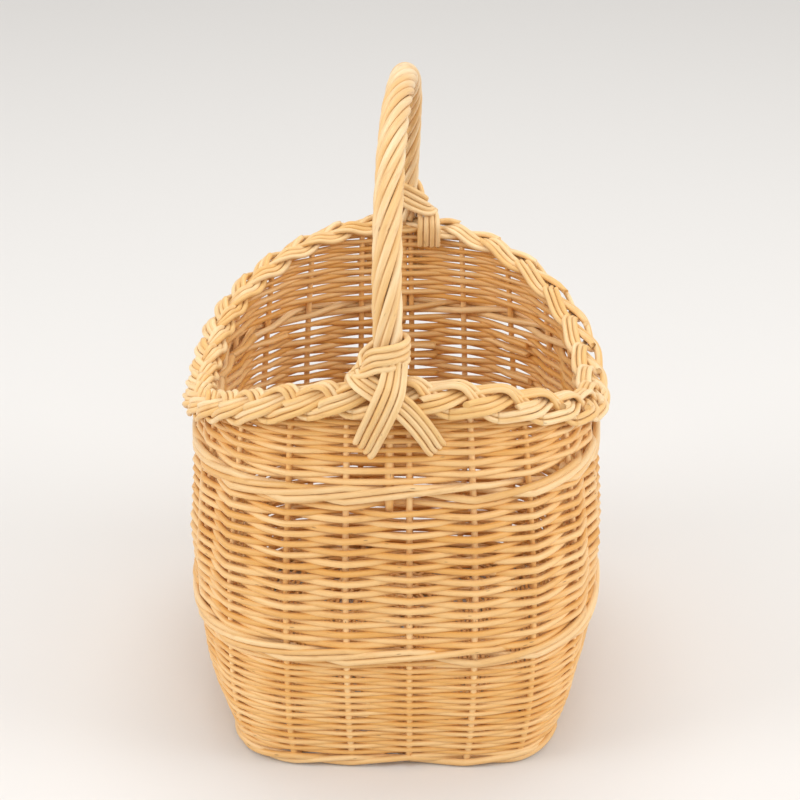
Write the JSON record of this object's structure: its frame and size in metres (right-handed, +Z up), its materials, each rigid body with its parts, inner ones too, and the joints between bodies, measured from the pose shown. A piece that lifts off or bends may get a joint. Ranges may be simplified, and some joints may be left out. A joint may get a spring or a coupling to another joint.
{
  "type": "willow market basket",
  "caption": "Oval willow market basket with a plaited border and a roped bow handle that runs from end to end and is lashed to the rim.",
  "frame": {"origin": "on the ground, in the middle of the flat underside of the base", "axes": "+Z up, +Y along the handle from its near foot to its far foot, +X to the right across the basket"},
  "size_m": [0.3182, 0.4178, 0.4758],
  "materials": {
    "stake_willow": "peeled willow, satin, unvarnished",
    "wall_willow": "peeled willow, satin, unvarnished",
    "wale_willow": "peeled willow, satin, unvarnished",
    "border_willow": "peeled willow, satin, unvarnished",
    "handle_willow": "peeled willow, satin, unvarnished",
    "base_willow": "peeled willow, satin, unvarnished"
  },
  "bodies": {
    "root": {"base_weave": "base_willow", "base_long_stick_1": "stake_willow", "base_long_stick_2": "stake_willow", "base_long_stick_3": "stake_willow", "base_short_stick_1": "stake_willow", "base_short_stick_2": "stake_willow", "base_short_stick_3": "stake_willow", "base_short_stick_4": "stake_willow", "base_short_stick_5": "stake_willow", "stake_01": "stake_willow", "stake_02": "stake_willow", "stake_03": "stake_willow", "stake_04": "stake_willow", "stake_05": "stake_willow", "stake_06": "stake_willow", "stake_07": "stake_willow", "stake_08": "stake_willow", "stake_09": "stake_willow", "stake_10": "stake_willow", "stake_11": "stake_willow", "stake_12": "stake_willow", "stake_13": "stake_willow", "stake_14": "stake_willow", "stake_15": "stake_willow", "stake_16": "stake_willow", "stake_17": "stake_willow", "stake_18": "stake_willow", "stake_19": "stake_willow", "stake_20": "stake_willow", "stake_21": "stake_willow", "stake_22": "stake_willow", "stake_23": "stake_willow", "stake_24": "stake_willow", "stake_25": "stake_willow", "foot_wale": "wale_willow", "lower_siding": "wall_willow", "lower_wale": "wale_willow", "middle_siding": "wall_willow", "upper_wale": "wale_willow", "packing_near": "wall_willow", "packing_far": "wall_willow", "plaited_border": "border_willow", "handle_bow": "stake_willow", "handle_rope_rod_1": "handle_willow", "handle_rope_rod_2": "handle_willow", "handle_rope_rod_3": "handle_willow", "handle_rope_rod_4": "handle_willow", "handle_rope_rod_5": "handle_willow", "handle_rope_rod_6": "handle_willow", "handle_rope_rod_7": "handle_willow", "handle_rope_rod_8": "handle_willow", "handle_wrap_near": "border_willow", "lashing_near_over": "border_willow", "lashing_near_under": "border_willow", "lashing_near_inside": "border_willow", "handle_wrap_far": "border_willow", "lashing_far_over": "border_willow", "lashing_far_under": "border_willow", "lashing_far_inside": "border_willow"}
  },
  "joints": []
}
